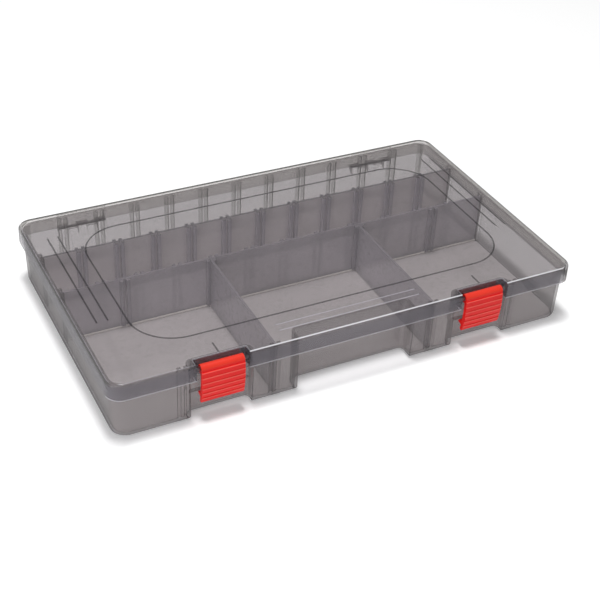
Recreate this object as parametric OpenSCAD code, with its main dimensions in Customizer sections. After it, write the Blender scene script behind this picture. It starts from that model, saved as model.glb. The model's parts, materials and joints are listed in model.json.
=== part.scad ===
// Flat hinged tackle box: a drafted tub, a skirted lid on two pinned hinges,
// two pivoting snap latches and four slide-in dividers.
// The origin is on the table under the middle of the tub. +X is to the right along
// the latch side, +Y is towards the hinges and +Z is up.

/* [Case] */
// Length of the lid, over its side skirts
lid_w = 356; // [340:1:400]
// Depth of the lid, over its front and back skirts
lid_d = 213; // [205:1:240]
// Height of the closed case
case_h = 46.3; // [42:0.1:60]
// Height of the lid's skirt
skirt_h = 13.1; // [12:0.1:14.5]

/* [Walls] */
// Thickness of the tub's walls
tub_wall = 1.8; // [1.4:0.1:2.2]
// Thickness of the tub's floor
floor_t = 1.8; // [1.4:0.1:2.4]
// Thickness of the lid's skirt and latch cheeks
lid_wall = 1.8; // [1.4:0.1:2.2]
// Thickness of the lid's top plate
lid_top_t = 1.8; // [1.4:0.1:2.4]
// Lean of the moulded walls, in degrees
draft = 1; // [0.5:0.1:1.5]
// Gap between the lid's skirt and the tub's rim
rim_gap = 0.6; // [0.5:0.1:1]
// Gap between the lid's underside and the tub's rim
rim_drop = 0.5; // [0.4:0.1:1]

/* [Edges] */
// Corner radius of the lid, in plan
lid_corner_r = 11; // [9:0.5:13]
// Corner radius of the tub's rim, in plan
tub_corner_r = 12; // [11:0.5:14]
// Rounding of the lid's top edge
lid_edge_r = 2.2; // [1.9:0.1:3]
// Rounding of the tub's bottom edge
tub_edge_r = 3.5; // [2.5:0.1:4]
// Radius where a recess meets the tub's front wall
mouth_r = 3; // [2:0.5:4]
// Corner radius at the back of a recess
recess_r = 3; // [2:0.5:4]

/* [Latches] */
// Distance of each latch's middle from the middle of the case
latch_x = 100.5; // [98:0.5:104]
// Width of each latch
latch_w = 30.6; // [26:0.2:33]
// Width of the notch in the lid that holds a latch
notch_w = 37.5; // [35.5:0.5:40]
// Depth of that notch, behind the lid's front face
notch_d = 7.6; // [7.4:0.1:9]
// Radius of the rolled top of the latch
roll_r = 3.3; // [3:0.1:3.4]
// Distance of the latch's pivot behind the lid's front face
pivot_in = 3.4; // [3.3:0.1:3.6]
// Depth of the latch's pivot below the top of the case
pivot_drop = 5.9; // [5:0.1:6.5]
// Length of the latch below its pivot
latch_drop = 27; // [26.5:0.5:29]
// Thickness of the latch's plate
latch_t = 2.8; // [2.2:0.1:3.1]
// How far the latch's plate bows outwards
latch_bow = 1.3; // [0.5:0.1:2]
// Number of finger ledges across the latch
ledge_n = 6; // [3:1:6]
// Depth of the first finger ledge below the pivot
ledge_start = 1.1; // [0.8:0.1:1.5]
// Distance from one finger ledge to the next
ledge_pitch = 4.25; // [3.5:0.05:4.3]
// Step of each finger ledge
ledge_d = 0.5; // [0.2:0.1:0.8]
// Radius of the two stubs that each latch turns on
stub_r = 1.5; // [1.2:0.1:1.7]
// How far each stub reaches into the end of the latch's roll
stub_in = 3; // [2:0.5:5]
// Gap between the stub's end and the bottom of its bore
stub_end_gap = 0.2; // [0.1:0.1:0.5]
// Corner radius at the back of the notch
notch_r = 1; // [0.5:0.5:2]
// Gap between the lid's latch cheek and the side of the tub's recess
cheek_gap = 1; // [0.6:0.1:1.5]

/* [Catches] */
// Height of the catch's lower face above the table
catch_z = 20.3; // [19:0.1:21]
// Height of the catch itself
catch_h = 11; // [6:0.5:12]
// How far the catch stands out from the recess
catch_d = 3.7; // [3:0.1:4]
// Height of the gap between the catch and the latch's hook
hook_gap = 0.3; // [0.2:0.1:0.5]
// How far the hook's tip stands in front of the catch's face
hook_clear = 0.2; // [0.2:0.1:0.6]
// Height of the latch's hook at its tip, half of that at its root
hook_h = 1.2; // [0.8:0.1:1.6]

/* [Finger recess] */
// Half width of the finger recess in the front wall
finger_half = 44; // [30:1:50]
// Depth of the finger recess, behind the tub's rim
finger_d = 12; // [8:0.5:14]

/* [Compartments] */
// Distance of the rear long divider behind the middle
rear_y = 57; // [50:0.5:62]
// Distance of the front long divider behind the middle
front_y = 10; // [5:0.5:20]
// Distance of each cross divider from the middle
cross_x = 61; // [56:0.5:66]
// Distance of the outer front slots from the middle of the latch beside them
outer_slot_out = 26.5; // [25.5:0.5:36]
// Distance between the slots of the back rows
slot_pitch = 28.65; // [24:0.05:29.5]
// Number of slots to each side of the middle one
slot_n = 5; // [3:1:5]
// Thickness of a divider
divider_t = 1.8; // [1.4:0.1:2.2]
// Gap between a divider's top and the lid's underside
divider_top_gap = 1.9; // [1:0.1:4]
// Side clearance of a divider in its slot
slot_gap = 0.25; // [0.2:0.05:0.4]
// Clearance at the end of a divider
end_gap = 0.3; // [0.2:0.05:0.6]
// Width of one slot rib
rib_w = 2.5; // [1.5:0.1:3]
// How far a slot rib stands out from its wall
rib_d = 2.6; // [1.5:0.1:3]
// Radius of a divider's lower corners
divider_r = 4; // [3:0.5:6]
// Width of the floor bead that seats a long divider
bead_w = 1.4; // [1:0.1:1.8]
// Height of that floor bead
bead_h = 1; // [0.6:0.1:1.2]

/* [Hinges] */
// Distance of each hinge's middle from the lid's side face
hinge_in = 51.5; // [43:0.5:68]
// Number of knuckles in each hinge, an odd number
knuckle_n = 5; // [3:2:7]
// Length of one knuckle
knuckle_l = 7.2; // [5:0.1:8]
// Gap between neighbouring knuckles
knuckle_gap = 0.4; // [0.3:0.1:0.6]
// Radius of the knuckles
knuckle_r = 2.5; // [2.2:0.1:2.7]
// Distance of the hinge pin behind the lid's back face
hinge_out = 2.4; // [2.3:0.1:3]
// Distance of the hinge pin below the lid's skirt
hinge_drop = 2.9; // [2.9:0.1:3.5]
// Radius of the hinge pin
pin_r = 1; // [0.8:0.1:1.2]
// Radial clearance of the pivots
pivot_clear = 0.08; // [0.05:0.01:0.1]
// Thickness of the hinge pad on the lid's back face
pad_t = 1.2; // [0.6:0.1:1.3]
// Height of that pad
pad_h = 9.8; // [6:0.1:10]

/* [Lid lines] */
// Distance of the moulded frame line from the lid's side faces
ring_side_in = 35; // [30:1:60]
// Distance of the frame line from the lid's front face
ring_front_in = 31.6; // [30:0.1:45]
// Distance of the frame line from the lid's back face
ring_back_in = 34.2; // [30:0.1:45]
// Corner radius of the frame line
ring_r = 32; // [15:1:40]
// Width of the moulded lines
line_w = 0.9; // [0.5:0.1:1.2]
// Depth of the moulded lines
line_d = 0.4; // [0.2:0.1:0.6]
// Distances of the two side lines from the lid's side face
side_line_in = [15.3, 23.1];
// Front and back ends of the side lines
side_line_y = [-37.3, 73.2];
// Half length of the two front lines
front_line_half = 54; // [30:1:70]
// Distances of the two front lines from the lid's front face
front_line_in = [14.1, 20.7];
// Length of the short line behind each latch
latch_line_l = 9; // [5:0.5:12]
// Distance of that line from the latch's notch
latch_line_in = 2; // [1.5:0.5:4]

/* [Hidden] */
$fn = 64;
smoke = [0.42, 0.41, 0.41, 0.6];
latch_red = [0.86, 0.17, 0.14];
steel = [0.7, 0.7, 0.72];
lap = 1; // how far a feature is sunk into the wall that carries it
over = 1; // how far a cut runs past the face it starts from
lid_inner_r = 1; // rounding inside the lid, under its top edge
ledge_slope = 1 / 3; // drop of a finger ledge's step over its width
curve_n = 5; // number of straight runs along the back of a latch's plate
web_drop = 0.8; // from the top of a tub knuckle down to the top of its web

lean = tan(draft);
rim_z = case_h - lid_top_t - rim_drop;
skirt_z = case_h - skirt_h;
tub_w = lid_w - 2 * (lid_wall + rim_gap);
tub_d = lid_d - 2 * (lid_wall + rim_gap);
in_w = tub_w - 2 * tub_wall;
in_d = tub_d - 2 * tub_wall;
floor_lean = (rim_z - floor_t) * lean; // how far the walls have leant in at the floor

notch_y = notch_d - lid_d / 2; // outer face of the notch's back wall
recess_y = notch_y + lid_wall + rim_gap; // outer face of the tub behind a latch
recess_w = notch_w + 2 * (lid_wall + cheek_gap);
finger_y = finger_d - tub_d / 2;
pivot_y = pivot_in - lid_d / 2;
pivot_z = case_h - pivot_drop;

hinge_x = lid_w / 2 - hinge_in;
hinge_y = lid_d / 2 + hinge_out;
hinge_z = skirt_z - hinge_drop;
knuckle_step = knuckle_l + knuckle_gap;
hinge_l = knuckle_n * knuckle_step - knuckle_gap;

outer_slot_x = latch_x + outer_slot_out;
divider_z = case_h - lid_top_t - divider_top_gap;
slot_w = divider_t + 2 * slot_gap;
rib_x = (slot_w + rib_w) / 2; // from a slot's middle to the middle of its ribs
rib_z = floor_t + bead_h + end_gap; // a divider's ribs start above the floor beads
long_half = in_w / 2 - floor_lean - end_gap;
cross_front = -in_d / 2 + floor_lean + end_gap;
cross_back = front_y - divider_t / 2 - end_gap;

// ---- shared shapes ---------------------------------------------------------

// Half section of a drafted wall with a rounded foot. It reaches r at height z_ref
// and runs from z_low up to z_high.
module wall_section(r, z_ref, z_low, z_high, foot_r) {
    foot_x = r - (z_ref - z_low) * lean + foot_r * lean - foot_r / cos(draft);
    polygon([
        [0, z_low],
        [foot_x, z_low],
        [foot_x, z_low + foot_r],
        [foot_x + foot_r * cos(draft), z_low + foot_r - foot_r * sin(draft)],
        [r + (z_high - z_ref) * lean, z_high],
        [0, z_high]
    ]);
    translate([foot_x, z_low + foot_r]) circle(foot_r);
}

// Section of a cut that flares out into a rounded edge at the table
module cut_section(r, z_high, foot_r) {
    translate([0, -over]) square([r, z_high + over]);
    difference() {
        translate([0, -over]) square([r + foot_r, foot_r + over]);
        translate([r + foot_r, foot_r]) circle(foot_r);
        translate([r + foot_r, -2 * over]) square([foot_r, 2 * over]);
    }
}

// Carries a half section around a rounded rectangle of w by d with corner radius r
module swept(w, d, r, z_low, z_high) {
    core_x = w / 2 - r;
    core_y = d / 2 - r;
    translate([-core_x, -core_y, z_low]) cube([2 * core_x, 2 * core_y, z_high - z_low]);
    for (quarter = [0:3]) {
        sx = quarter == 0 || quarter == 3 ? 1 : -1;
        sy = quarter < 2 ? 1 : -1;
        translate([sx * core_x, sy * core_y, 0])
            rotate(90 * quarter) rotate_extrude(angle = 90) children();
    }
    for (side = [0, 1]) {
        mirror([side, 0, 0]) translate([core_x, 0, 0])
            rotate([90, 0, 0]) linear_extrude(2 * core_y, center = true) children();
        mirror([0, side, 0]) translate([0, core_y, 0])
            rotate([90, 0, 90]) linear_extrude(2 * core_x, center = true) children();
    }
}

module drafted_block(w, d, r, z_ref, z_low, z_high, foot_r)
    swept(w, d, r, z_low, z_high) wall_section(r, z_ref, z_low, z_high, foot_r);

// Upright block with rounded vertical edges, between two heights
module upright(w, y_front, y_back, r, z_low, z_high)
    translate([0, (y_front + y_back) / 2, 0])
        swept(w, y_back - y_front, r, z_low, z_high)
            translate([0, z_low]) square([r, z_high - z_low]);

// Extrudes a (Y, Z) section along X, centred on x
module along_x(x, length)
    translate([x, 0, 0])
        rotate([90, 0, 90]) linear_extrude(length, center = true) children();

// ---- tub -------------------------------------------------------------------

// Opens a recess of width w in the front wall, back to y_back, with its edges rounded
module recess_cut(x, w, y_back) {
    y_front = -tub_d / 2 - 2 * recess_r;
    translate([x, (y_front + y_back) / 2, 0])
        swept(w, y_back - y_front, recess_r, 0, rim_z + over)
            cut_section(recess_r, rim_z + over, tub_edge_r);
    for (side = [-1, 1])
        translate([x + side * w / 2, -tub_d / 2, rim_z]) rotate([-draft, 0, 0])
            difference() {
                translate([side > 0 ? -over : -mouth_r, -over, -2 * rim_z])
                    cube([mouth_r + over, mouth_r + over, 3 * rim_z]);
                translate([side * mouth_r, mouth_r, -2 * rim_z - over])
                    cylinder(r = mouth_r, h = 3 * rim_z + 2 * over);
            }
}

// Leaves the wall that stands behind such a recess
module recess_wall(x, w, y_back)
    translate([x, 0, 0])
        upright(w + 2 * tub_wall, -tub_d / 2 - 2 * recess_r, y_back + tub_wall,
            recess_r + tub_wall, 0, rim_z + 2 * over);

// Two ribs on a wall facing along Y, from y0 to y1, with a divider's slot between
module slot_ribs(x, y0, y1, z_low, z_high)
    for (side = [-1, 1])
        translate([x + side * rib_x - rib_w / 2, min(y0, y1), z_low])
            cube([rib_w, abs(y1 - y0), z_high - z_low]);

module catch_block(x)
    along_x(x, recess_w + 2 * over)
        polygon([
            [recess_y + lap, catch_z],
            [recess_y - catch_d, catch_z],
            [recess_y - catch_d, catch_z + catch_h - catch_d / 2],
            [recess_y - catch_d / 2, catch_z + catch_h],
            [recess_y + lap, catch_z + catch_h]
        ]);

// X of the middle of knuckle i of the hinge centred on x
function knuckle_x(x, i) = x + (i - (knuckle_n - 1) / 2) * knuckle_step;

module tub_knuckle(x) {
    wall_y = tub_d / 2 - (rim_z - hinge_z) * lean - lap;
    web_top = hinge_z + knuckle_r - web_drop;
    difference() {
        along_x(x, knuckle_l) {
            polygon([
                [wall_y, web_top],
                [hinge_y, web_top],
                [hinge_y, hinge_z - knuckle_r],
                [wall_y, hinge_z - 3 * knuckle_r]
            ]);
            translate([hinge_y, hinge_z]) circle(knuckle_r);
        }
        pin_bore(x);
    }
}

module pin_bore(x)
    translate([x, hinge_y, hinge_z]) rotate([0, 90, 0])
        cylinder(r = pin_r + pivot_clear, h = knuckle_l + 2 * over, center = true);

module tub_shell()
    difference() {
        drafted_block(tub_w, tub_d, tub_corner_r, rim_z, 0, rim_z, tub_edge_r);
        difference() {
            drafted_block(in_w, in_d, tub_corner_r - tub_wall, rim_z, floor_t,
                rim_z + over, tub_edge_r - tub_wall);
            for (side = [-1, 1]) recess_wall(side * latch_x, recess_w, recess_y);
            recess_wall(0, 2 * finger_half, finger_y);
        }
        for (side = [-1, 1]) recess_cut(side * latch_x, recess_w, recess_y);
        recess_cut(0, 2 * finger_half, finger_y);
    }

module tub_slots() {
    rib_top = rim_z - end_gap;
    low = floor_t - lap / 2;
    for (k = [-slot_n:slot_n])
        slot_ribs(k * slot_pitch, in_d / 2 - rib_d, in_d / 2 + lap / 2, low, rib_top);
    for (x = [cross_x, outer_slot_x], side = [-1, 1])
        slot_ribs(side * x, -in_d / 2 + rib_d, -in_d / 2 - lap / 2, low, rib_top);
    for (y = [rear_y, front_y], side = [0, 1])
        mirror([side, 0, 0]) rotate(90)
            slot_ribs(y, -in_w / 2 + rib_d, -in_w / 2 - lap / 2, low, rib_top);
}

module floor_beads()
    for (y = [rear_y, front_y], side = [-1, 1])
        translate([0, y + side * (slot_w + bead_w) / 2, floor_t])
            cube([in_w - 2 * floor_lean, bead_w, 2 * bead_h], center = true);

module base_tub()
    color(smoke) {
        difference() {
            union() {
                tub_shell();
                tub_slots();
                floor_beads();
            }
            // The ribs and beads stop at the outside of the walls
            for (side = [-1, 1]) recess_cut(side * latch_x, recess_w, recess_y);
        }
        for (side = [-1, 1]) {
            catch_block(side * latch_x);
            for (i = [0:2:knuckle_n - 1]) tub_knuckle(knuckle_x(side * hinge_x, i));
        }
    }

// ---- lid -------------------------------------------------------------------

module lid_block(wall, z_low, z_high, edge_r)
    translate([0, 0, case_h]) mirror([0, 0, 1])
        drafted_block(lid_w - 2 * wall, lid_d - 2 * wall, lid_corner_r - wall,
            skirt_h, z_low, z_high, edge_r);

module notch(x, extra, z_low, z_high)
    translate([x, 0, 0])
        upright(notch_w + 2 * extra, -lid_d, notch_y + extra, notch_r + extra,
            z_low, z_high);

module groove(w, y_front, y_back, r)
    difference() {
        upright(w + line_w, y_front - line_w / 2, y_back + line_w / 2, r + line_w / 2,
            case_h - line_d, case_h + over);
        upright(w - line_w, y_front + line_w / 2, y_back - line_w / 2, r - line_w / 2,
            case_h - line_d - over, case_h + 2 * over);
    }

// A straight moulded line from one point of the lid's top to another, along X or Y
module line_cut(x0, y0, x1, y1)
    translate([x0 - line_w / 2, y0 - line_w / 2, case_h - line_d])
        cube([x1 - x0 + line_w, y1 - y0 + line_w, line_d + over]);

module lid_lines() {
    groove(lid_w - 2 * ring_side_in, ring_front_in - lid_d / 2, lid_d / 2 - ring_back_in,
        ring_r);
    for (inset = side_line_in, side = [-1, 1])
        line_cut(side * (lid_w / 2 - inset), side_line_y[0],
            side * (lid_w / 2 - inset), side_line_y[1]);
    for (inset = front_line_in)
        line_cut(-front_line_half, inset - lid_d / 2, front_line_half, inset - lid_d / 2);
    line_y = notch_y + latch_line_in;
    for (side = [-1, 1])
        line_cut(side * latch_x, line_y, side * latch_x, line_y + latch_line_l);
}

module lid_hinge(x) {
    back = lid_d / 2 - lap / 2;
    along_x(x, hinge_l)
        translate([back, skirt_z]) square([pad_t + lap / 2, pad_h]);
    for (i = [1:2:knuckle_n - 2])
        along_x(knuckle_x(x, i), knuckle_l) {
            polygon([
                [back, skirt_z],
                [back + pad_t, skirt_z + 2 * knuckle_r],
                [hinge_y + knuckle_r, hinge_z + knuckle_r / 2],
                [hinge_y + knuckle_r, hinge_z],
                [hinge_y - knuckle_r, hinge_z]
            ]);
            translate([hinge_y, hinge_z]) circle(knuckle_r);
        }
}

// The stubs that stand in from both cheeks of the notch at x, for the latch to turn on
module latch_stubs(x)
    for (side = [-1, 1])
        translate([x + side * (latch_w / 2 - stub_in), pivot_y, pivot_z])
            rotate([0, side * 90, 0])
                cylinder(r = stub_r, h = stub_in + (notch_w - latch_w) / 2 + lap);

module lid()
    color(smoke) {
        difference() {
            union() {
                difference() {
                    lid_block(0, 0, skirt_h, lid_edge_r);
                    difference() {
                        lid_block(lid_wall, lid_top_t, skirt_h + over, lid_inner_r);
                        for (side = [-1, 1])
                            notch(side * latch_x, lid_wall, 0, case_h);
                    }
                }
                for (side = [-1, 1]) lid_hinge(side * hinge_x);
            }
            for (side = [-1, 1]) {
                notch(side * latch_x, 0, 0, case_h + over);
                for (i = [1:2:knuckle_n - 2]) pin_bore(knuckle_x(side * hinge_x, i));
            }
            lid_lines();
        }
        for (side = [-1, 1]) latch_stubs(side * latch_x);
    }

// ---- latches ---------------------------------------------------------------

// How far the plate's face stands out from the pivot, at a depth below it
function face_out(depth) =
    let (t = depth / latch_drop)
    roll_r * (1 - t) + (roll_r - latch_bow) * t + 4 * latch_bow * t * (1 - t);

// Section of the latch below its roll, with +X to the front
module plate_section() {
    lip_r = latch_t / 2;
    lip_out = face_out(latch_drop - lip_r) - lip_r;
    hook_top = pivot_z - catch_z + hook_gap;
    hook_out = pivot_y - (recess_y - catch_d) + hook_clear;
    translate([lip_out, -latch_drop + lip_r]) circle(lip_r);
    polygon(concat(
        [[0, 0]],
        [for (i = [0:ledge_n - 1], step = [0, 1])
            let (depth = ledge_start + i * ledge_pitch)
            [face_out(depth) + step * ledge_d, -depth - step * ledge_d * ledge_slope]],
        [[lip_out + lip_r, -latch_drop + lip_r], [lip_out - lip_r, -latch_drop + lip_r]],
        [[face_out(hook_top) - latch_t, -hook_top - 2 * hook_h],
            [hook_out, -hook_top - hook_h], [hook_out, -hook_top]],
        [for (i = [0:curve_n - 1])
            let (depth = hook_top * (1 - i / curve_n))
            [face_out(depth) - latch_t, -depth]]
    ));
}

module latch(x)
    color(latch_red)
        translate([x, pivot_y, pivot_z])
            difference() {
                union() {
                    along_x(0, latch_w) mirror([1, 0]) plate_section();
                    rotate([0, 90, 0]) cylinder(r = roll_r, h = latch_w, center = true);
                }
                for (side = [-1, 1]) translate([side * (latch_w / 2 + over), 0, 0])
                    rotate([0, -side * 90, 0])
                        cylinder(r = stub_r + pivot_clear, h = stub_in + stub_end_gap + over);
            }

module latch_left() latch(-latch_x);

module latch_right() latch(latch_x);

// ---- hinge pins ------------------------------------------------------------

module hinge_pin(x)
    color(steel)
        translate([x, hinge_y, hinge_z]) rotate([0, 90, 0])
            cylinder(r = pin_r, h = hinge_l, center = true);

module hinge_pin_left() hinge_pin(-hinge_x);

module hinge_pin_right() hinge_pin(hinge_x);

// ---- dividers --------------------------------------------------------------

// Upright plate between two ends, with rounded lower corners
module plate(start, finish)
    linear_extrude(divider_t, center = true) {
        translate([start, floor_t + divider_r])
            square([finish - start, divider_z - floor_t - divider_r]);
        translate([start + divider_r, floor_t])
            square([finish - start - 2 * divider_r, 2 * divider_r]);
        for (x = [start + divider_r, finish - divider_r])
            translate([x, floor_t + divider_r]) circle(divider_r);
    }

module back_row_ribs(y, side)
    for (k = [-slot_n:slot_n])
        slot_ribs(k * slot_pitch, y, y + side * (divider_t / 2 + rib_d), rib_z,
            divider_z - end_gap);

module front_row_ribs(y)
    for (x = [cross_x, outer_slot_x], side = [-1, 1])
        slot_ribs(side * x, y, y - divider_t / 2 - rib_d, rib_z, divider_z - end_gap);

module long_plate(y)
    translate([0, y, 0]) rotate([90, 0, 0]) plate(-long_half, long_half);

module long_divider_rear()
    color(smoke) {
        long_plate(rear_y);
        for (side = [-1, 1]) back_row_ribs(rear_y, side);
    }

module long_divider_front()
    color(smoke) {
        long_plate(front_y);
        back_row_ribs(front_y, 1);
        front_row_ribs(front_y);
    }

module cross_divider(x)
    color(smoke)
        translate([x, 0, 0]) rotate([90, 0, 90]) plate(cross_front, cross_back);

module cross_divider_left() cross_divider(-cross_x);

module cross_divider_right() cross_divider(cross_x);

base_tub();
lid();
latch_left();
latch_right();
hinge_pin_left();
hinge_pin_right();
long_divider_rear();
long_divider_front();
cross_divider_left();
cross_divider_right();
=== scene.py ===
"""Looks of a flat hinged tackle box.

A smoke-grey translucent tub, lid and dividers, two red snap latches and two steel
hinge pins. All lengths here are in metres.
"""
import json
import math

import bmesh
import bpy
from mathutils import Matrix, Vector


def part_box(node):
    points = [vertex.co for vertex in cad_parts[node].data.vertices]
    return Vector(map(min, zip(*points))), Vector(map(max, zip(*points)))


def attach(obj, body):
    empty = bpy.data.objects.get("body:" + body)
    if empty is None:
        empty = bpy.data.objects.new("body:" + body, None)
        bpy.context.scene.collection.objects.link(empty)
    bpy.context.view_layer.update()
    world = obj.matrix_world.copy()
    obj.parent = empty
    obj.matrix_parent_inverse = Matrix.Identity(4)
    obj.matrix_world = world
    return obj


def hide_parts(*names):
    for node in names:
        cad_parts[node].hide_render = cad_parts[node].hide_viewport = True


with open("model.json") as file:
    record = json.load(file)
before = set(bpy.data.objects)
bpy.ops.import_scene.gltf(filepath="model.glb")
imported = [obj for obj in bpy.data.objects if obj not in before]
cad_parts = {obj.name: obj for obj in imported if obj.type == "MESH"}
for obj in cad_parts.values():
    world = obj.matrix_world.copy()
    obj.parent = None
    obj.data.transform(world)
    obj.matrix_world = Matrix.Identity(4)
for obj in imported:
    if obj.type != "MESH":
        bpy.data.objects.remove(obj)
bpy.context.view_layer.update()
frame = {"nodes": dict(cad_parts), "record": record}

MM = 0.001
SHARP = math.radians(40)  # an edge that turns by more than this is rounded
MOULD_R = 0.14 * MM  # radius that a mould leaves on an edge
SMOOTH = 60  # degrees up to which neighbouring faces are shaded as one
WIDE_FACE = 30 * MM * MM  # area from which a flat face is shaded flat
ROUND_SIDES = 40  # sides of a pin, and of a bore
MERGE = 0.003 * MM  # points closer than this become one
ONE_FACE = math.radians(0.3)  # faces that turn by less than this become one
BODY = {node: body for body, nodes in frame["record"]["behaviour"]["bodies"].items() for node in nodes}


# ---- modelling helpers -------------------------------------------------------

def select_only(piece=None):
    """Leaves nothing selected but piece, which becomes the active object."""
    for other in bpy.context.selected_objects:
        other.select_set(False)
    if piece is not None:
        piece.select_set(True)
        bpy.context.view_layer.objects.active = piece


def edit(piece):
    """Opens piece in edit mode and returns its mesh with nothing selected."""
    select_only(piece)
    bpy.ops.object.mode_set(mode="EDIT")
    bpy.ops.mesh.select_mode(type="EDGE")
    bpy.ops.mesh.select_all(action="DESELECT")
    return bmesh.from_edit_mesh(piece.data)


def pick_edges(piece, mesh, wanted):
    """Selects the edges that pass the test wanted."""
    for edge in mesh.edges:
        edge.select_set(wanted(edge))
    bmesh.update_edit_mesh(piece.data)


def flatten(piece, least_area):
    """Shades each face larger than least_area flat, so that light slides over it evenly."""
    mesh = piece.data
    normals = [corner.vector.copy() for corner in mesh.corner_normals]
    for face in mesh.polygons:
        if face.area > least_area:
            for corner in face.loop_indices:
                normals[corner] = face.normal.copy()
    mesh.normals_split_custom_set(normals)


def close(piece, smooth_angle=SMOOTH):
    """Leaves edit mode and shades piece smooth, with its flat faces kept flat."""
    bpy.ops.object.mode_set(mode="OBJECT")
    select_only(piece)
    bpy.ops.object.shade_smooth_by_angle(angle=math.radians(smooth_angle))
    weigh = piece.modifiers.new("weigh", "WEIGHTED_NORMAL")
    weigh.mode = "FACE_AREA"
    weigh.weight = 100
    weigh.keep_sharp = True
    bpy.ops.object.modifier_apply(modifier=weigh.name)
    flatten(piece, WIDE_FACE)
    select_only()
    return piece


def round_off(piece, wanted, radius, slot):
    """Rounds the sharp edges that pass the test wanted, and gives the rounding a material slot."""
    mesh = bmesh.from_edit_mesh(piece.data)
    pick_edges(piece, mesh, lambda e: e.is_manifold and e.calc_face_angle() > SHARP and wanted(e))
    bpy.ops.mesh.bevel(offset=radius, segments=2, affect="EDGES", material=slot)
    bpy.ops.mesh.select_all(action="DESELECT")


def level(height):
    """A level plane, as a place on it and the way that it faces."""
    return (0, 0, height), (0, 0, 1)


def cut_across(plane):
    """Cuts the faces of the mesh being edited along a plane, so that a band can be painted."""
    place, facing = plane
    bpy.ops.mesh.select_all(action="SELECT")
    bpy.ops.mesh.bisect(plane_co=place, plane_no=facing)
    bpy.ops.mesh.select_all(action="DESELECT")


def moulded_copy(node, plastics, wide_edge=None, wide_radius=0, cuts=()):
    """A copy of a CAD node with every sharp edge rounded as a mould leaves it.

    plastics are its own material, that of its edges and that of its wide edges, which pass
    the test wide_edge. Its faces are cut across along the planes in cuts.
    """
    cad = frame["nodes"][node]
    piece = cad.copy()
    piece.data = cad.data.copy()
    piece.parent = None
    piece.name = piece.data.name = node + "_moulded"
    for key in list(piece.keys()):
        del piece[key]
    bpy.context.scene.collection.objects.link(piece)
    dress(piece, *plastics)
    edit(piece)
    bpy.ops.mesh.select_all(action="SELECT")
    bpy.ops.mesh.remove_doubles(threshold=MERGE)
    bpy.ops.mesh.dissolve_limited(angle_limit=ONE_FACE)
    bpy.ops.mesh.select_all(action="DESELECT")
    if wide_edge:
        round_off(piece, wide_edge, wide_radius, 2)
    round_off(piece, lambda e: True, MOULD_R, 1)
    for plane in cuts:
        cut_across(plane)
    return close(piece)


def drawn_and_pulled(name, outline, x_low, x_high):
    """Draws a closed (Y, Z) outline point by point at x_low and pulls it out to x_high."""
    select_only()
    bpy.ops.mesh.primitive_plane_add(size=MM, location=(x_low, *outline[0]))
    piece = bpy.context.active_object
    piece.name = piece.data.name = name
    bpy.ops.object.mode_set(mode="EDIT")
    bpy.ops.mesh.select_mode(type="VERT")
    bpy.ops.mesh.merge(type="CENTER")
    for here, there in zip(outline, outline[1:]):
        step = (0, there[0] - here[0], there[1] - here[1])
        bpy.ops.mesh.extrude_vertices_move(TRANSFORM_OT_translate={"value": step})
    bpy.ops.mesh.select_all(action="SELECT")
    bpy.ops.mesh.edge_face_add()
    bpy.ops.mesh.extrude_region_move(TRANSFORM_OT_translate={"value": (x_high - x_low, 0, 0)})
    bpy.ops.mesh.select_all(action="SELECT")
    bpy.ops.mesh.normals_make_consistent(inside=False)
    bpy.ops.object.mode_set(mode="OBJECT")
    bpy.ops.object.transform_apply(location=True, rotation=True, scale=True)
    return piece


def rod(place, radius, length):
    """A plain rod along X, centred on a place."""
    select_only()
    bpy.ops.mesh.primitive_cylinder_add(vertices=ROUND_SIDES, radius=radius, depth=length,
                                        location=place, rotation=(0, math.pi / 2, 0))
    return bpy.context.active_object


def drill(piece, place, radius, length):
    """Bores a hole along X, centred on a place, through whatever of piece it meets."""
    bit = rod(place, radius, length)
    select_only(piece)
    bore = piece.modifiers.new("bore", "BOOLEAN")
    bore.operation = "DIFFERENCE"
    bore.solver = "EXACT"
    bore.object = bit
    bpy.ops.object.modifier_apply(modifier=bore.name)
    bpy.data.objects.remove(bit)


# ---- materials ---------------------------------------------------------------

def new_material(name):
    material = bpy.data.materials.new(name)
    material.use_nodes = True
    material.node_tree.nodes.clear()
    return material, material.node_tree


def noise(tree, scale, detail, stretch=(1, 1, 1)):
    """Noise in the piece's own space: scale is in cycles per metre."""
    place = tree.nodes.new("ShaderNodeTexCoord")
    turn = tree.nodes.new("ShaderNodeMapping")
    texture = tree.nodes.new("ShaderNodeTexNoise")
    turn.inputs["Scale"].default_value = stretch
    texture.inputs["Scale"].default_value = scale
    texture.inputs["Detail"].default_value = detail
    tree.links.new(place.outputs["Object"], turn.inputs["Vector"])
    tree.links.new(turn.outputs["Vector"], texture.inputs["Vector"])
    return texture.outputs["Fac"]


def spread(tree, value, low, high):
    """Maps the middle of a noise's range to low..high."""
    ramp = tree.nodes.new("ShaderNodeMapRange")
    ramp.inputs["From Min"].default_value = 0.3
    ramp.inputs["From Max"].default_value = 0.7
    ramp.inputs["To Min"].default_value = low
    ramp.inputs["To Max"].default_value = high
    tree.links.new(value, ramp.inputs["Value"])
    return ramp.outputs["Result"]


def two_tone(tree, value, first, second):
    """A colour that drifts between two tones as the noise value does."""
    mix = tree.nodes.new("ShaderNodeMix")
    mix.data_type = "RGBA"
    mix.inputs["A"].default_value = (*first, 1)
    mix.inputs["B"].default_value = (*second, 1)
    tree.links.new(spread(tree, value, 0, 1), mix.inputs["Factor"])
    return mix.outputs["Result"]


def fine_bump(tree, value, strength, height):
    bump = tree.nodes.new("ShaderNodeBump")
    bump.inputs["Strength"].default_value = strength
    bump.inputs["Distance"].default_value = height
    tree.links.new(value, bump.inputs["Height"])
    return bump.outputs["Normal"]


def scaled(colour, factor):
    return tuple(channel * factor for channel in colour)


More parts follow.
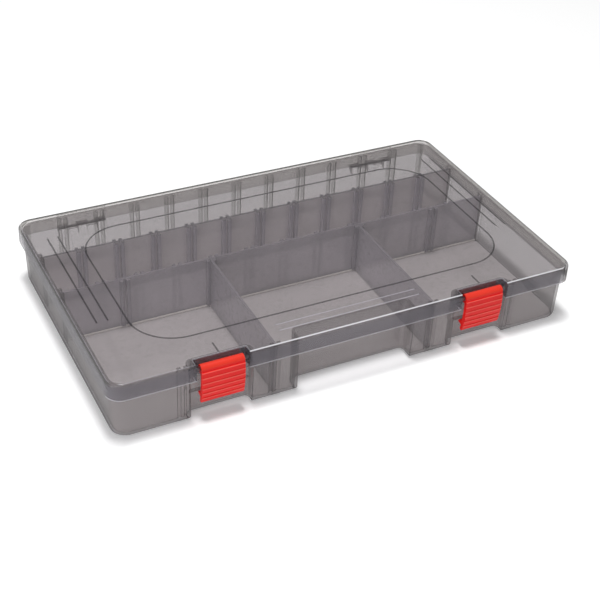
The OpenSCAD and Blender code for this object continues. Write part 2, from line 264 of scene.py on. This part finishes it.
def smoke_plastic(name, tint, haze, cloud, edge_on=0.2, gloss=1.6, coat=1):
    """Clear tinted plastic: haze is the share of each face that shows its own cloud colour.

    Seen edge on, light has further to go through it, and tint falls to edge_on of itself.
    With coat at 0 the face is matt, for edges that would mirror the room.
    """
    material, tree = new_material(name)
    out = tree.nodes.new("ShaderNodeOutputMaterial")
    body = tree.nodes.new("ShaderNodeBsdfPrincipled")
    clear = tree.nodes.new("ShaderNodeBsdfTransparent")
    mix = tree.nodes.new("ShaderNodeMixShader")
    grazing = tree.nodes.new("ShaderNodeLayerWeight")
    power = tree.nodes.new("ShaderNodeMath")
    depth = tree.nodes.new("ShaderNodeMix")
    link = tree.links.new
    flow = noise(tree, 22, 3, (1, 2.2, 1))
    fine = noise(tree, 260, 2)
    link(two_tone(tree, flow, scaled(cloud, 0.94), scaled(cloud, 1.06)), body.inputs["Base Color"])
    link(spread(tree, fine, 0.24, 0.36), body.inputs["Roughness"])
    link(fine_bump(tree, flow, 0.06, 0.5 * MM), body.inputs["Normal"])
    body.inputs["Specular IOR Level"].default_value = 0.5 * coat
    body.inputs["Coat Weight"].default_value = coat
    body.inputs["Coat IOR"].default_value = gloss
    body.inputs["Coat Roughness"].default_value = 0.06
    grazing.inputs["Blend"].default_value = 0.5
    power.operation = "POWER"
    power.inputs[1].default_value = 4
    depth.data_type = "RGBA"
    depth.inputs["A"].default_value = (*tint, 1)
    depth.inputs["B"].default_value = (*scaled(tint, edge_on), 1)
    mix.inputs["Fac"].default_value = haze
    link(grazing.outputs["Facing"], power.inputs[0])
    link(power.outputs[0], depth.inputs["Factor"])
    link(depth.outputs["Result"], clear.inputs["Color"])
    link(clear.outputs[0], mix.inputs[1])
    link(body.outputs[0], mix.inputs[2])
    link(mix.outputs[0], out.inputs["Surface"])
    return material


def red_plastic(name, deep, light):
    """Opaque moulded plastic with faint flow marks and a fine grain."""
    material, tree = new_material(name)
    out = tree.nodes.new("ShaderNodeOutputMaterial")
    body = tree.nodes.new("ShaderNodeBsdfPrincipled")
    link = tree.links.new
    flow = noise(tree, 90, 3, (0.5, 1, 1))
    fine = noise(tree, 2600, 2)
    link(two_tone(tree, flow, deep, light), body.inputs["Base Color"])
    link(spread(tree, fine, 0.27, 0.37), body.inputs["Roughness"])
    body.inputs["Specular IOR Level"].default_value = 0.12
    body.inputs["Coat Weight"].default_value = 0.12
    body.inputs["Coat Roughness"].default_value = 0.18
    link(fine_bump(tree, fine, 0.12, 0.03 * MM), body.inputs["Normal"])
    link(body.outputs[0], out.inputs["Surface"])
    return material


def pin_steel():
    """Drawn steel wire, with fine lines along its length."""
    material, tree = new_material("pin_steel")
    out = tree.nodes.new("ShaderNodeOutputMaterial")
    body = tree.nodes.new("ShaderNodeBsdfPrincipled")
    link = tree.links.new
    lines = noise(tree, 2400, 3, (0.03, 1, 1))
    body.inputs["Metallic"].default_value = 1
    link(two_tone(tree, lines, (0.5, 0.5, 0.51), (0.66, 0.66, 0.67)), body.inputs["Base Color"])
    link(spread(tree, lines, 0.2, 0.4), body.inputs["Roughness"])
    link(fine_bump(tree, lines, 0.25, 0.02 * MM), body.inputs["Normal"])
    link(body.outputs[0], out.inputs["Surface"])
    return material


def dress(piece, *materials):
    piece.data.materials.clear()
    for material in materials:
        piece.data.materials.append(material)


def paint(piece, material, wanted):
    """Gives material to the faces of piece that pass the test wanted."""
    piece.data.materials.append(material)
    index = len(piece.data.materials) - 1
    for face in piece.data.polygons:
        if wanted(face):
            face.material_index = index


def seat(piece, node):
    """Lets piece stand for a CAD node, on that node's body."""
    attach(piece, BODY[node])
    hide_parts(node)


# ---- smoke-grey plastics -----------------------------------------------------
# Many stretches have their own tint, haze and cloud colour as painted light and shade: painted shade on
# edges, recesses, ribs and corners, lit faces painted lighter, painted highlights on rims, lines and
# beads.

lid_smoke = smoke_plastic("lid_smoke", (0.93, 0.92, 0.926), 0.1, (0.29, 0.275, 0.28))
# painted shade: the lid's upright walls, painted darker with a painted bluish sheen
skirt_shade_smoke = smoke_plastic("skirt_shade_smoke", (0.84, 0.832, 0.85), 0.26, (0.16, 0.149, 0.18))
# painted light: the lid's walls along the back and right side, painted lighter and warmer
lit_far_smoke = smoke_plastic("lit_far_smoke", (0.93, 0.92, 0.905), 0.14, (0.3, 0.288, 0.27))
# painted shade: the walls of the notch round each latch, painted dark
notch_shade = smoke_plastic("notch_shade", (0.6, 0.585, 0.61), 0.5, (0.11, 0.103, 0.12))
# painted shade: the skirt's front right corner, painted darker
corner_shade = smoke_plastic("corner_shade", (0.6, 0.59, 0.59), 0.3, (0.15, 0.143, 0.145), coat=0)
# painted shade: the rim's rounding along the back and both sides, painted dark
rim_shade = smoke_plastic("rim_shade", (0.42, 0.412, 0.405), 0.4, (0.15, 0.143, 0.14))
# painted shade: the flat top over the solid rim, painted darker
rim_band_shade = smoke_plastic("rim_band_shade", (0.57, 0.56, 0.55), 0.25, (0.15, 0.143, 0.14), coat=0)
# painted highlight along the front rim
highlight_edge = smoke_plastic("highlight_edge", (0.97, 0.965, 0.98), 0.7, (0.88, 0.87, 0.92), gloss=2.6)
# faint painted highlight along the rim's flatter rounding
faint_highlight = smoke_plastic("faint_highlight", (0.93, 0.925, 0.94), 0.45, (0.45, 0.43, 0.485))
# painted shade: the moulded lines on the lid, painted dark
line_shade = smoke_plastic("line_shade", (0.62, 0.62, 0.62), 0.45, (0.06, 0.06, 0.064), coat=0)
# painted highlight: the short moulded lines over the finger recess
highlight_line = smoke_plastic("highlight_line", (0.93, 0.925, 0.94), 0.55, (0.6, 0.58, 0.62), gloss=1.3)
# painted highlight: the band above the skirt's foot, and the wide roundings of the skirt's foot and
# notch edges
foot_highlight = smoke_plastic("foot_highlight", (0.95, 0.945, 0.96), 0.6, (0.52, 0.505, 0.545), gloss=1.5)
# painted shade: every moulded edge's rounding painted dark, and the band round the tub's foot as painted
# contact shadow
dark_edge = smoke_plastic("dark_edge", (0.35, 0.34, 0.36), 0.35, (0.05, 0.046, 0.05), coat=0)

tub_smoke = smoke_plastic("tub_smoke", (0.86, 0.846, 0.848), 0.26, (0.19, 0.175, 0.176))
# painted light: the tub's inner floor, painted much lighter
lit_floor_smoke = smoke_plastic("lit_floor_smoke", (0.9, 0.885, 0.885), 0.58, (0.75, 0.71, 0.7))
# painted shade: the ribs on the back walls and the edges by the hinges, painted darker
wall_rib_shade = smoke_plastic("wall_rib_shade", (0.7, 0.69, 0.68), 0.35, (0.16, 0.153, 0.15))
# painted highlight on the bead in front of the front long divider
highlight_bead = smoke_plastic("highlight_bead", (0.97, 0.96, 0.94), 0.85, (1, 0.95, 0.89))

# painted light: the rear long divider, painted lighter than the others
lit_rear_smoke = smoke_plastic("lit_rear_smoke", (0.9, 0.885, 0.885), 0.58, (0.95, 0.91, 0.925))
# painted shade: the rib columns on the rear long divider, painted darker
rear_rib_smoke = smoke_plastic("rear_rib_smoke", (0.8, 0.785, 0.82), 0.6, (0.64, 0.61, 0.675), 0.6)
divider_smoke = smoke_plastic("divider_smoke", (0.87, 0.855, 0.87), 0.55, (0.7, 0.67, 0.715))
# painted shade: the rib columns on the front long divider, painted darker
rib_smoke = smoke_plastic("rib_smoke", (0.8, 0.785, 0.82), 0.6, (0.42, 0.4, 0.445), 0.6)
# painted shade: the dividers' edge roundings and the tops of the front and cross dividers, painted
# darker
divider_edge = smoke_plastic("divider_edge", (0.86, 0.845, 0.865), 0.52, (0.38, 0.36, 0.39), 0.6, coat=0)
# painted shade: the rear divider's top, painted dark
divider_top = smoke_plastic("divider_top", (0.66, 0.645, 0.665), 0.45, (0.22, 0.21, 0.22), coat=0)


# ---- lid ---------------------------------------------------------------------

NEAR = 0.01 * MM  # within this, a point lies on a plane
UPRIGHT_RISE = 0.3  # a face whose normal rises less than this is upright
LEVEL_RISE = 0.96  # and one whose normal rises more than this is level
LID_LOW, LID_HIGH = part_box("lid")
LID_TOP = LID_HIGH.z
LID_SIDE = LID_HIGH.x
LID_FRONT = LID_LOW.y
LID_BACK = -LID_FRONT  # only the hinges stand out past it
SKIRT_FOOT = LID_TOP - 13.1 * MM
SKIRT_FOOT_R = 0.6 * MM
FOOT_BAND = (0.35 * MM, 1.15 * MM)  # the painted highlight line above the skirt's foot, from and to
FOOT_RUN = 9 * MM  # the line runs this far back round the front corners
RIM_IN = 2.4 * MM  # how far the rounded rim reaches in from the lid's sides
RIM_DOWN = 2.3 * MM  # and down from its top
LIT_END = 9 * MM  # the painted highlight on the front rim ends this far from the right side
FAINT_END = 14 * MM  # the faint painted highlight on the left rim ends this far from the back
SOLID_RIM = 4.6 * MM  # width of the solid rim along the lid's back and right sides
CORNER_IN = SOLID_RIM + 2.2 * MM  # its slanted inner corners pass this far in from both sides
CORNER_OFF = 4.5 * MM  # what the rounding takes off each corner, along the diagonal
WALL_DOWN = 2 * MM  # the skirt's walls start this far below the lid's top
FAR_IN = 4 * MM  # a wall less than this in from the back or the right side is a far one
END_X = 10 * MM  # the front right corner, in from the right side
END_Y = 12 * MM  # and in from the front
LATCH_LOW, LATCH_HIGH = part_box("latch_right")
LATCH_X = (LATCH_LOW.x + LATCH_HIGH.x) / 2
NOTCH_HALF = 18.75 * MM
NOTCH_BACK = LID_FRONT + 7.6 * MM
HINGE_FRONT = 94 * MM  # edges further back than this belong to the hinges and the back wall
LINE_DEPTH = 0.45 * MM
LINES_IN = 8 * MM  # the moulded lines lie at least this far in from the lid's sides
FRONT_LINES_IN = 24 * MM  # and the short lines over the finger recess no further than this


def in_from_side(place):
    return LID_SIDE - abs(place.x)


def in_from_right(place):
    return LID_SIDE - place.x


def in_from_front(place):
    return place.y - LID_FRONT


def in_from_back(place):
    return LID_BACK - place.y


def below_top(place):
    return LID_TOP - place.z


def by_a_notch(place, reach):
    """True for a place at the notch of either latch, or no further than reach outside it."""
    return abs(abs(place.x) - LATCH_X) < NOTCH_HALF + reach and place.y < NOTCH_BACK + reach


def middle(edge):
    return (edge.verts[0].co + edge.verts[1].co) / 2


def skirt_foot_edge(edge):
    """The outer edge of the skirt's foot, and the top and foot of each notch, whose wide roundings get
    the painted highlight.
    """
    at = middle(edge)
    notch = by_a_notch(at, 0.1 * MM)
    outer = in_from_side(at) < MM or in_from_front(at) < MM
    at_foot = at.z < SKIRT_FOOT + NEAR
    at_top = below_top(at) < NEAR
    return (at_foot and (outer or notch)) or (at_top and notch)


def rim_cuts():
    """The planes along the inner edge of the solid rim."""
    x, y = LID_SIDE - CORNER_IN, LID_BACK - CORNER_IN
    return [((0, LID_BACK - SOLID_RIM, 0), (0, 1, 0)), ((LID_SIDE - SOLID_RIM, 0, 0), (1, 0, 0)),
            ((x, y, 0), (1, 1, 0)), ((-x, y, 0), (-1, 1, 0))]


def at_front(face):
    return in_from_front(face.center) < RIM_IN


def at_far_side(face):
    return in_from_back(face.center) < FAR_IN or in_from_right(face.center) < FAR_IN


def upright(face):
    return abs(face.normal.z) < UPRIGHT_RISE and below_top(face.center) > WALL_DOWN


def turned_over(face, steepest):
    """True for the rounding of the rim, where its normal rises more than steepest."""
    return (below_top(face.center) < RIM_DOWN and steepest < face.normal.z < LEVEL_RISE
            and not by_a_notch(face.center, MM))


def dark_rim(face):
    """The rounded rim along the back and both sides, painted dark as painted shade."""
    outermost = in_from_side(face.center) < RIM_IN or in_from_back(face.center) < RIM_IN
    return outermost and not at_front(face) and turned_over(face, 0.02)


def solid_rim(face):
    """The flat top over the solid rim, along the back and right sides and across the corners, painted
    darker as painted shade.
    """
    at = face.center
    from_corner = (in_from_side(at) + in_from_back(at)) / math.sqrt(2) - CORNER_OFF
    in_from_edge = min(in_from_right(at), in_from_back(at), from_corner)
    flat_top = face.normal.z > LEVEL_RISE and below_top(at) < 0.3 * MM
    return flat_top and in_from_edge < SOLID_RIM - 0.02 * MM


def faint_rim(face):
    """The flatter part of the rim's rounding, at the front and on the left side, with a faint painted
    highlight.
    """
    at = face.center
    at_left = at.x < 0 and in_from_side(at) < RIM_IN and in_from_back(at) > FAINT_END
    return (at_front(face) or at_left) and turned_over(face, 0.9)


def lit_rim(face):
    """The stretch of the front rim with the painted highlight, from the left latch to the right corner.
    """
    return (at_front(face) and turned_over(face, 0.78) and face.center.x > -LATCH_X
            and in_from_right(face.center) > LIT_END)


def on_a_line(face):
    """The faces of the moulded lines, which lie a little below the lid's top, painted dark as painted
    shade.
    """
    at = face.center
    return (0.03 * MM < below_top(at) < LINE_DEPTH and not by_a_notch(at, MM)
            and min(in_from_side(at), in_from_front(at), in_from_back(at)) > LINES_IN)


# the short lines over the finger recess, which get the painted highlight
def on_a_front_line(face):
    at = face.center
    return on_a_line(face) and in_from_front(at) < FRONT_LINES_IN and abs(at.x) < LATCH_X / 2


def notch_wall(face):
    return (abs(face.normal.z) < UPRIGHT_RISE and by_a_notch(face.center, 0.3 * MM)
            and in_from_front(face.center) >= 0.3 * MM)


def skirt_foot(face):
    """The band above the foot of the skirt's front, with the painted highlight."""
    low, high = (SKIRT_FOOT + up for up in FOOT_BAND)
    at = face.center
    return (low < at.z < high and face.normal.y < -0.2 and in_from_front(at) < FOOT_RUN
            and not by_a_notch(at, -0.2 * MM))


def right_end(face):
    """The skirt's front right corner, where both its walls are seen edge on, painted darker as painted
    shade.
    """
    at = face.center
    return (in_from_right(at) < END_X and in_from_front(at) < END_Y and below_top(at) > WALL_DOWN
            and abs(face.normal.x) > 0.12)


def make_lid():
    cuts = [level(SKIRT_FOOT + up) for up in FOOT_BAND] + rim_cuts()
    lid = moulded_copy("lid", (lid_smoke, dark_edge, foot_highlight), skirt_foot_edge, SKIRT_FOOT_R, cuts)
    # Painted light and shade on the lid: walls, notches, rims, lines and the front right corner painted
    # darker or lighter, painted highlights on the rims and the skirt's foot.
    paint(lid, skirt_shade_smoke, lambda f: f.material_index == 0 and upright(f) and not at_far_side(f))
    paint(lid, lit_far_smoke, lambda f: f.material_index == 0 and upright(f) and at_far_side(f))
    paint(lid, notch_shade, notch_wall)
    paint(lid, line_shade, on_a_line)
    paint(lid, highlight_line, on_a_front_line)
    paint(lid, wall_rib_shade, lambda f: f.material_index == 1 and f.center.y > HINGE_FRONT)
    paint(lid, rim_shade, dark_rim)
    paint(lid, rim_band_shade, solid_rim)
    paint(lid, faint_highlight, faint_rim)
    paint(lid, foot_highlight, skirt_foot)
    paint(lid, corner_shade, right_end)
    paint(lid, highlight_edge, lit_rim)
    return lid


# ---- tub and dividers --------------------------------------------------------

TUB_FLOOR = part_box("long_divider_rear")[0].z
TUB_FOOT = 0.9 * MM  # height of the painted contact shadow, a dark band round the tub's foot
TUB_FOOT_R = 0.4 * MM
WALL_BACK = 101.5 * MM  # inner face of the back wall at the tub's floor
RIB_OUT = 2.6 * MM
DIVIDER_HALF = 0.9 * MM
DIVIDER_Y = {"long_divider_rear": 57 * MM, "long_divider_front": 10 * MM}
BEAD_W = 1.4 * MM
BEAD_TOP = 2 * MM  # the beads stay below this height over the tub's floor
FRONT_BEAD_Y = DIVIDER_Y["long_divider_front"] - 1.15 * MM - BEAD_W / 2


def underneath(edge):
    return middle(edge).z < NEAR


def front_bead(face):
    """The bead on the floor in front of the front long divider, with a painted highlight."""
    return (0.2 * MM < face.center.z - TUB_FLOOR < BEAD_TOP
            and abs(face.center.y - FRONT_BEAD_Y) < BEAD_W / 2 + 0.1 * MM)


def back_wall_rib(face):
    return (face.material_index == 0 and face.center.z > TUB_FLOOR + MM
            and WALL_BACK - RIB_OUT < face.center.y < WALL_BACK - 0.3 * MM)


def make_tub():
    plastics = (tub_smoke, dark_edge, dark_edge)
    tub = moulded_copy("base_tub", plastics, underneath, TUB_FOOT_R, [level(TUB_FOOT)])
    paint(tub, wall_rib_shade, lambda f: f.material_index == 1 and f.center.y > HINGE_FRONT)
    # painted contact shadow: the dark band round the tub's foot
    paint(tub, dark_edge, lambda f: f.center.z < TUB_FOOT and abs(f.normal.z) < 0.9)
    paint(tub, lit_floor_smoke, lambda f: f.normal.z > 0.9 and abs(f.center.z - TUB_FLOOR) < 0.5 * MM)
    paint(tub, highlight_bead, front_bead)
    paint(tub, wall_rib_shade, back_wall_rib)
    return tub


def make_divider(node):
    rear = node == "long_divider_rear"
    divider = moulded_copy(node, (lit_rear_smoke if rear else divider_smoke, divider_edge))
    if node in DIVIDER_Y:
        # painted shade on the rib columns
        paint(divider, rear_rib_smoke if rear else rib_smoke, lambda f: f.material_index == 0
              and abs(f.center.y - DIVIDER_Y[node]) > DIVIDER_HALF + 0.3 * MM)
    # painted shade on the dividers' tops
    paint(divider, divider_top if rear else divider_edge, lambda f: f.normal.z > 0.3)
    return divider


seat(make_lid(), "lid")
seat(make_tub(), "base_tub")
for node in ("long_divider_rear", "long_divider_front", "cross_divider_left", "cross_divider_right"):
    seat(make_divider(node), node)


# ---- latches -----------------------------------------------------------------

ROLL_R = 3.3 * MM
LATCH_DROP = 27 * MM
LATCH_T = 2.8 * MM
LATCH_BOW = 1.3 * MM
LATCH_EDGE_R = 0.15 * MM
LATCH_SHARP = math.radians(25)
LATCH_SMOOTH = 35  # degrees
LEDGE_N = 6
LEDGE_START = 1.1 * MM
LEDGE_PITCH = 4.25 * MM
LEDGE_D = 0.5 * MM
LEDGE_FALL = LEDGE_D / 3
LIP_R = LATCH_T / 2
HOOK_TOP = 20.4 * MM  # the hook's upper face below the pivot
HOOK_H = 1.2 * MM
BORE_R = 1.58 * MM
BORE_DEPTH = 3.2 * MM
TIP_H = 0.7 * MM  # height of the band with the painted highlight on the tip of each ledge
ROLL_STEPS = 30
LIP_STEPS = 6
BACK_RUNS = 5

red = red_plastic("red_plastic", (0.83, 0.011, 0.01), (0.88, 0.015, 0.013))
# painted highlight on the tips of the ledges
tip_highlight_red = red_plastic("tip_highlight_red", (0.93, 0.1, 0.08), (0.96, 0.13, 0.1))
# painted sheen: a lighter, more orange red on the upper face of the roll
roll_sheen_red = red_plastic("roll_sheen_red", (0.77, 0.036, 0.02), (0.81, 0.043, 0.024))


def face_out(depth):
    """How far the plate's face stands out from the pivot, at a depth below it."""
    t = depth / LATCH_DROP
    return ROLL_R * (1 - t) + (ROLL_R - LATCH_BOW) * t + 4 * LATCH_BOW * t * (1 - t)


def arc(radius, start, end, steps, out=0, down=0):
    """Points (outwards, down) along an arc, with its angles counted up from the front."""
    turn = [start + (end - start) * i / steps for i in range(steps + 1)]
    return [(out + radius * math.cos(a), down - radius * math.sin(a)) for a in turn]


def ledge_depth(i):
    """Where ledge i leaves the plate's face, below the pivot."""
    return LEDGE_START + i * LEDGE_PITCH


def latch_outline(hook_out):
    """The latch's section as (outwards, down) points from its pivot."""
    front = -math.atan2(LEDGE_START, face_out(LEDGE_START))
    last = HOOK_TOP / BACK_RUNS
    back = -math.atan2(last, face_out(last) - LATCH_T)
    roll = arc(ROLL_R, front, 2 * math.pi + back, ROLL_STEPS)
    depths = [HOOK_TOP * i / BACK_RUNS for i in range(1, BACK_RUNS + 1)]
    spine = [(face_out(depth) - LATCH_T, depth) for depth in depths]
    hook = [(hook_out, HOOK_TOP), (hook_out, HOOK_TOP + HOOK_H),
            (face_out(HOOK_TOP) - LATCH_T, HOOK_TOP + 2 * HOOK_H)]
    lip_out = face_out(LATCH_DROP - LIP_R) - LIP_R
    lip = arc(LIP_R, -math.pi, 0, LIP_STEPS, lip_out, LATCH_DROP - LIP_R)
    ledges = []
    for i in reversed(range(LEDGE_N)):
        depth = ledge_depth(i)
        ledges += [(face_out(depth) + LEDGE_D, depth + LEDGE_FALL), (face_out(depth), depth)]
    return roll + spine + hook + lip + ledges


def make_latch(node):
    low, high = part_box(node)
    pivot_z = high.z - ROLL_R
    pivot_y = low.y + max(out for out, down in latch_outline(0))
    tips = [pivot_z - ledge_depth(i) - LEDGE_FALL for i in range(LEDGE_N)]

    def on_a_tip(face):
        height = face.center.z
        return face.normal.y < 0 and any(tip - TIP_H < height < tip + 0.1 * MM for tip in tips)

    # the upper face of the roll, which gets the painted sheen
    def on_the_roll(face):
        return face.normal.z > 0.2 and face.center.z > pivot_z

    outline = [(pivot_y - out, pivot_z - down) for out, down in latch_outline(pivot_y - high.y)]
    latch = drawn_and_pulled(node + "_moulded", outline, low.x, high.x)
    mesh = edit(latch)
    pick_edges(latch, mesh, lambda e: e.calc_face_angle() > LATCH_SHARP)
    bpy.ops.mesh.bevel(offset=LATCH_EDGE_R, segments=2, affect="EDGES")
    bpy.ops.object.mode_set(mode="OBJECT")
    for x in (low.x, high.x):
        drill(latch, (x, pivot_y, pivot_z), BORE_R, 2 * BORE_DEPTH)
    edit(latch)
    for tip in tips:
        cut_across(level(tip - TIP_H))
    close(latch, LATCH_SMOOTH)
    dress(latch, red)
    paint(latch, tip_highlight_red, on_a_tip)
    paint(latch, roll_sheen_red, on_the_roll)
    return latch


for node in ("latch_left", "latch_right"):
    seat(make_latch(node), node)


# ---- hinge pins --------------------------------------------------------------

PIN_END_R = 0.35 * MM
PIN_SHARP = math.radians(60)
steel = pin_steel()


def make_pin(node):
    """A pin cut from drawn wire, its ends rounded over so that it slides in."""
    low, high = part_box(node)
    pin = rod((low + high) / 2, (high.z - low.z) / 2, high.x - low.x)
    pin.name = pin.data.name = node + "_drawn"
    bpy.ops.object.transform_apply(location=True, rotation=True, scale=True)
    mesh = edit(pin)
    pick_edges(pin, mesh, lambda e: e.calc_face_angle() > PIN_SHARP)
    bpy.ops.mesh.bevel(offset=PIN_END_R, segments=4, affect="EDGES")
    close(pin)
    dress(pin, steel)
    return pin


for node in ("hinge_pin_left", "hinge_pin_right"):
    seat(make_pin(node), node)


# ---- stage -------------------------------------------------------------------

CAMERA_AZIMUTH = math.radians(-27.97)
CAMERA_ELEVATION = math.radians(35.51)
CAMERA_ROLL = math.radians(2.99)
CAMERA_DISTANCE = 0.94313
CAMERA_TARGET = Vector((0.01091, 0.00347, -0.01046))
CAMERA_LENS = 73.615  # millimetres, on the sensor below
CAMERA_SENSOR = 36  # millimetres
FLOOR_SIZE = 12
FLOOR_Z = -0.1 * MM
FLOOR_GREY = 0.92
FLOOR_GLOW = 0.16  # added where the floor is the background, and not where it lights the box
ROOM_LIGHT = 0.2


def place_camera():
    data = bpy.data.cameras.new("camera")
    data.sensor_width = CAMERA_SENSOR
    data.lens = CAMERA_LENS
    camera = bpy.data.objects.new("camera", data)
    bpy.context.scene.collection.objects.link(camera)
    back = Vector((math.sin(CAMERA_AZIMUTH) * math.cos(CAMERA_ELEVATION),
                   -math.cos(CAMERA_AZIMUTH) * math.cos(CAMERA_ELEVATION),
                   math.sin(CAMERA_ELEVATION)))
    right = Vector((0, 0, 1)).cross(back).normalized()
    up = back.cross(right)
    turned_right = right * math.cos(CAMERA_ROLL) + up * math.sin(CAMERA_ROLL)
    turned_up = up * math.cos(CAMERA_ROLL) - right * math.sin(CAMERA_ROLL)
    turn = Matrix((turned_right, turned_up, back)).transposed().to_4x4()
    camera.matrix_world = Matrix.Translation(CAMERA_TARGET + back * CAMERA_DISTANCE) @ turn
    bpy.context.scene.camera = camera


def seen_directly(tree):
    """1 for rays that show a background: straight from the camera, or mirrored or let through."""
    rays = tree.nodes.new("ShaderNodeLightPath")
    seen = rays.outputs["Is Camera Ray"]
    for name in ("Is Glossy Ray", "Is Transmission Ray"):
        either = tree.nodes.new("ShaderNodeMath")
        either.operation = "MAXIMUM"
        tree.links.new(seen, either.inputs[0])
        tree.links.new(rays.outputs[name], either.inputs[1])
        seen = either.outputs[0]
    return seen


def pale_floor():
    select_only()
    bpy.ops.mesh.primitive_plane_add(size=FLOOR_SIZE, location=(0, 0, FLOOR_Z))
    floor = bpy.context.active_object
    floor.name = "floor"
    material, tree = new_material("pale_floor")
    out = tree.nodes.new("ShaderNodeOutputMaterial")
    lit = tree.nodes.new("ShaderNodeBsdfDiffuse")
    glow = tree.nodes.new("ShaderNodeEmission")
    both = tree.nodes.new("ShaderNodeAddShader")
    mix = tree.nodes.new("ShaderNodeMixShader")
    lit.inputs["Color"].default_value = (FLOOR_GREY, FLOOR_GREY, FLOOR_GREY, 1)
    glow.inputs["Color"].default_value = (1, 1, 1, 1)
    glow.inputs["Strength"].default_value = FLOOR_GLOW
    tree.links.new(lit.outputs[0], both.inputs[0])
    tree.links.new(glow.outputs[0], both.inputs[1])
    tree.links.new(seen_directly(tree), mix.inputs["Fac"])
    tree.links.new(lit.outputs[0], mix.inputs[1])
    tree.links.new(both.outputs[0], mix.inputs[2])
    tree.links.new(mix.outputs[0], out.inputs["Surface"])
    dress(floor, material)


def soft_lamp(name, place, aim, size, watts, colour=(1, 1, 1)):
    data = bpy.data.lights.new(name, "AREA")
    data.shape = "RECTANGLE"
    data.size, data.size_y = size
    data.energy = watts
    data.color = colour
    lamp = bpy.data.objects.new(name, data)
    bpy.context.scene.collection.objects.link(lamp)
    lamp.location = place
    lamp.rotation_euler = (Vector(aim) - Vector(place)).to_track_quat("-Z", "Y").to_euler()


def light_the_room():
    """A dim room that shows as white, one lamp overhead and a soft fill from the left."""
    world = bpy.data.worlds.new("studio")
    bpy.context.scene.world = world
    world.use_nodes = True
    tree = world.node_tree
    dim = tree.nodes["Background"]
    dim.inputs["Color"].default_value = (1, 1, 1, 1)
    dim.inputs["Strength"].default_value = ROOM_LIGHT
    white = tree.nodes.new("ShaderNodeBackground")
    white.inputs["Strength"].default_value = 1
    mix = tree.nodes.new("ShaderNodeMixShader")
    tree.links.new(seen_directly(tree), mix.inputs["Fac"])
    tree.links.new(dim.outputs[0], mix.inputs[1])
    tree.links.new(white.outputs[0], mix.inputs[2])
    tree.links.new(mix.outputs[0], tree.nodes["World Output"].inputs["Surface"])
    soft_lamp("overhead", (-0.08, 0.06, 2.2), (0, 0, 0), (0.4, 0.4), 38)
    soft_lamp("side_fill", (-1.35, -0.7, 0.5), (0, 0, 0.03), (1.2, 0.5), 9.5, (0.95, 0.96, 1))


place_camera()
pale_floor()
light_the_room()
scene = bpy.context.scene
scene.view_settings.view_transform = "Standard"
scene.cycles.transparent_max_bounces = 64  # a line of sight crosses many smoke-grey walls
